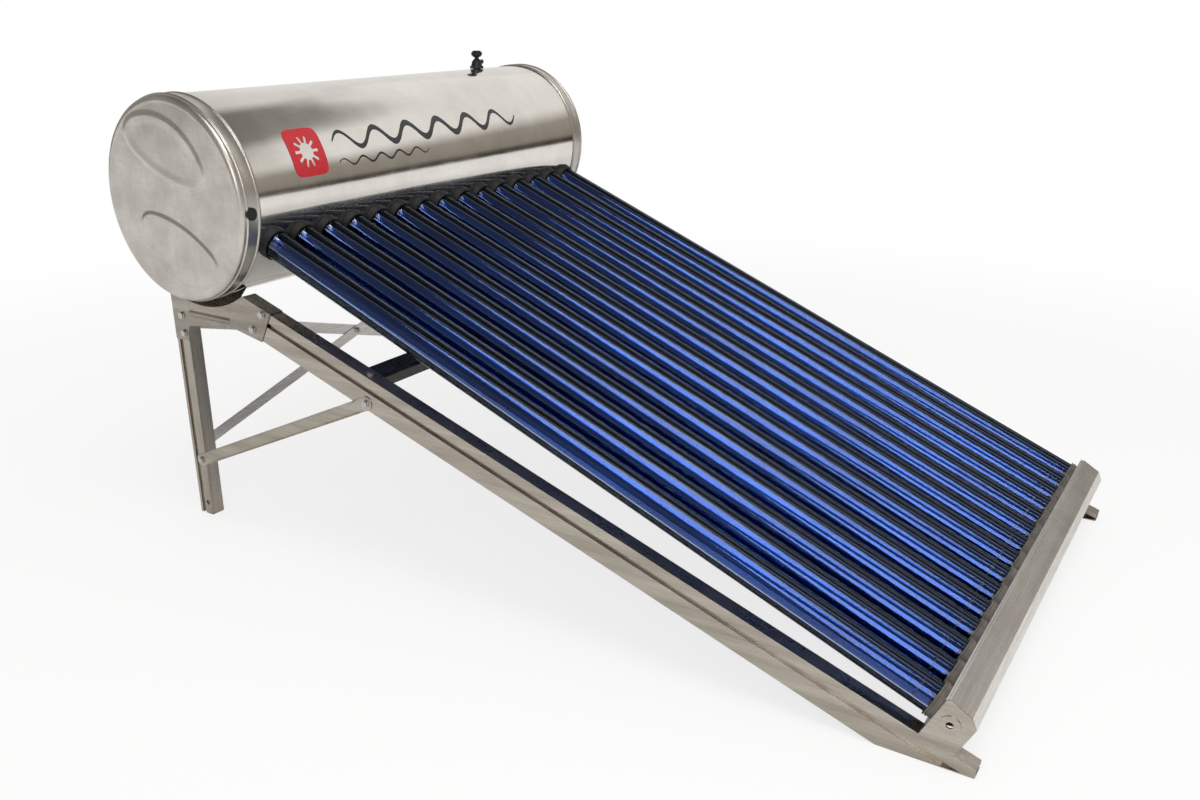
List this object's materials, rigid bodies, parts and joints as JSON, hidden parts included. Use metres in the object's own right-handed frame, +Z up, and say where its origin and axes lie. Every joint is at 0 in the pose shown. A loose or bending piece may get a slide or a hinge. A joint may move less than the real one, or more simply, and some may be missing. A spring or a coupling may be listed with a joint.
{
  "type": "solar water heater",
  "caption": "Thermosiphon solar water heater: insulated horizontal tank, sloping row of evacuated glass tubes and a bolted steel stand.",
  "frame": {"origin": "on the ground, in the middle of the footprint of the whole heater", "axes": "+X along the tank from the end with the sensor plug, +Y from the tubes' lower ends towards the tank's back, +Z up"},
  "size_m": [1.3048, 1.921, 0.981],
  "materials": {
    "polished_stainless": "mirror-polished stainless sheet",
    "cap_steel": "pressed stainless sheet with a dull brushed face",
    "tank_steel": "plain welded stainless sheet",
    "stand_steel": "folded stainless sheet, bright",
    "fastener_steel": "bright turned stainless",
    "foam": "rigid polyurethane foam",
    "black_rubber": "EPDM rubber, matt",
    "silicone": "red-brown silicone",
    "brass_nipple": "turned brass",
    "anode_metal": "cast magnesium alloy, dull",
    "black_plastic": "moulded black plastic",
    "cup_plastic": "moulded grey-brown plastic",
    "outer_glass": "clear borosilicate glass",
    "selective_coating": "dark blue absorbing coating on glass"
  },
  "bodies": {
    "tank_and_stand": {"outer_shell": "polished_stainless", "end_cap_left": "cap_steel", "end_cap_right": "cap_steel", "insulation": "foam", "inner_tank": "tank_steel", "dust_rings": "black_rubber", "tank_seals": "silicone", "cold_inlet": "brass_nipple", "hot_outlet": "brass_nipple", "sensor_plug": "black_rubber", "vent_body": "black_plastic", "anode_rod": "anode_metal", "rear_leg_left": "stand_steel", "rear_leg_right": "stand_steel", "front_leg_left": "stand_steel", "front_leg_right": "stand_steel", "tank_bracket_left": "stand_steel", "tank_bracket_right": "stand_steel", "side_brace_left": "stand_steel", "side_brace_right": "stand_steel", "cross_bar_rising": "stand_steel", "cross_bar_falling": "stand_steel", "front_tie": "stand_steel", "rail_end_left": "stand_steel", "rail_end_right": "stand_steel", "tail_rail": "stand_steel", "tube_cups": "cup_plastic", "frame_bolts": "fastener_steel", "frame_nuts": "fastener_steel"},
    "vent_knob_body": {"vent_knob": "black_plastic"},
    "tube_1": {"tube_glass_1": "outer_glass", "tube_absorber_1": "selective_coating"},
    "tube_2": {"tube_glass_2": "outer_glass", "tube_absorber_2": "selective_coating"},
    "tube_3": {"tube_glass_3": "outer_glass", "tube_absorber_3": "selective_coating"},
    "tube_4": {"tube_glass_4": "outer_glass", "tube_absorber_4": "selective_coating"},
    "tube_5": {"tube_glass_5": "outer_glass", "tube_absorber_5": "selective_coating"},
    "tube_6": {"tube_glass_6": "outer_glass", "tube_absorber_6": "selective_coating"},
    "tube_7": {"tube_glass_7": "outer_glass", "tube_absorber_7": "selective_coating"},
    "tube_8": {"tube_glass_8": "outer_glass", "tube_absorber_8": "selective_coating"},
    "tube_9": {"tube_glass_9": "outer_glass", "tube_absorber_9": "selective_coating"},
    "tube_10": {"tube_glass_10": "outer_glass", "tube_absorber_10": "selective_coating"},
    "tube_11": {"tube_glass_11": "outer_glass", "tube_absorber_11": "selective_coating"},
    "tube_12": {"tube_glass_12": "outer_glass", "tube_absorber_12": "selective_coating"},
    "tube_13": {"tube_glass_13": "outer_glass", "tube_absorber_13": "selective_coating"},
    "tube_14": {"tube_glass_14": "outer_glass", "tube_absorber_14": "selective_coating"},
    "tube_15": {"tube_glass_15": "outer_glass", "tube_absorber_15": "selective_coating"}
  },
  "joints": [
    {"name": "vent_knob_turn", "type": "hinge", "parent": "tank_and_stand", "child": "vent_knob_body", "pos_m": [0.42, 0.7325, 0.962], "axis": [0, 0, 1], "range_deg": [0, 540]},
    {"name": "tube_1_lift", "type": "slide", "parent": "tank_and_stand", "child": "tube_1", "axis": [0, 0.9291, 0.3697], "range_m": [0, 0.045]},
    {"name": "tube_2_lift", "type": "slide", "parent": "tank_and_stand", "child": "tube_2", "axis": [0, 0.9291, 0.3697], "range_m": [0, 0.045]},
    {"name": "tube_3_lift", "type": "slide", "parent": "tank_and_stand", "child": "tube_3", "axis": [0, 0.9291, 0.3697], "range_m": [0, 0.045]},
    {"name": "tube_4_lift", "type": "slide", "parent": "tank_and_stand", "child": "tube_4", "axis": [0, 0.9291, 0.3697], "range_m": [0, 0.045]},
    {"name": "tube_5_lift", "type": "slide", "parent": "tank_and_stand", "child": "tube_5", "axis": [0, 0.9291, 0.3697], "range_m": [0, 0.045]},
    {"name": "tube_6_lift", "type": "slide", "parent": "tank_and_stand", "child": "tube_6", "axis": [0, 0.9291, 0.3697], "range_m": [0, 0.045]},
    {"name": "tube_7_lift", "type": "slide", "parent": "tank_and_stand", "child": "tube_7", "axis": [0, 0.9291, 0.3697], "range_m": [0, 0.045]},
    {"name": "tube_8_lift", "type": "slide", "parent": "tank_and_stand", "child": "tube_8", "axis": [0, 0.9291, 0.3697], "range_m": [0, 0.045]},
    {"name": "tube_9_lift", "type": "slide", "parent": "tank_and_stand", "child": "tube_9", "axis": [0, 0.9291, 0.3697], "range_m": [0, 0.045]},
    {"name": "tube_10_lift", "type": "slide", "parent": "tank_and_stand", "child": "tube_10", "axis": [0, 0.9291, 0.3697], "range_m": [0, 0.045]},
    {"name": "tube_11_lift", "type": "slide", "parent": "tank_and_stand", "child": "tube_11", "axis": [0, 0.9291, 0.3697], "range_m": [0, 0.045]},
    {"name": "tube_12_lift", "type": "slide", "parent": "tank_and_stand", "child": "tube_12", "axis": [0, 0.9291, 0.3697], "range_m": [0, 0.045]},
    {"name": "tube_13_lift", "type": "slide", "parent": "tank_and_stand", "child": "tube_13", "axis": [0, 0.9291, 0.3697], "range_m": [0, 0.045]},
    {"name": "tube_14_lift", "type": "slide", "parent": "tank_and_stand", "child": "tube_14", "axis": [0, 0.9291, 0.3697], "range_m": [0, 0.045]},
    {"name": "tube_15_lift", "type": "slide", "parent": "tank_and_stand", "child": "tube_15", "axis": [0, 0.9291, 0.3697], "range_m": [0, 0.045]}
  ]
}
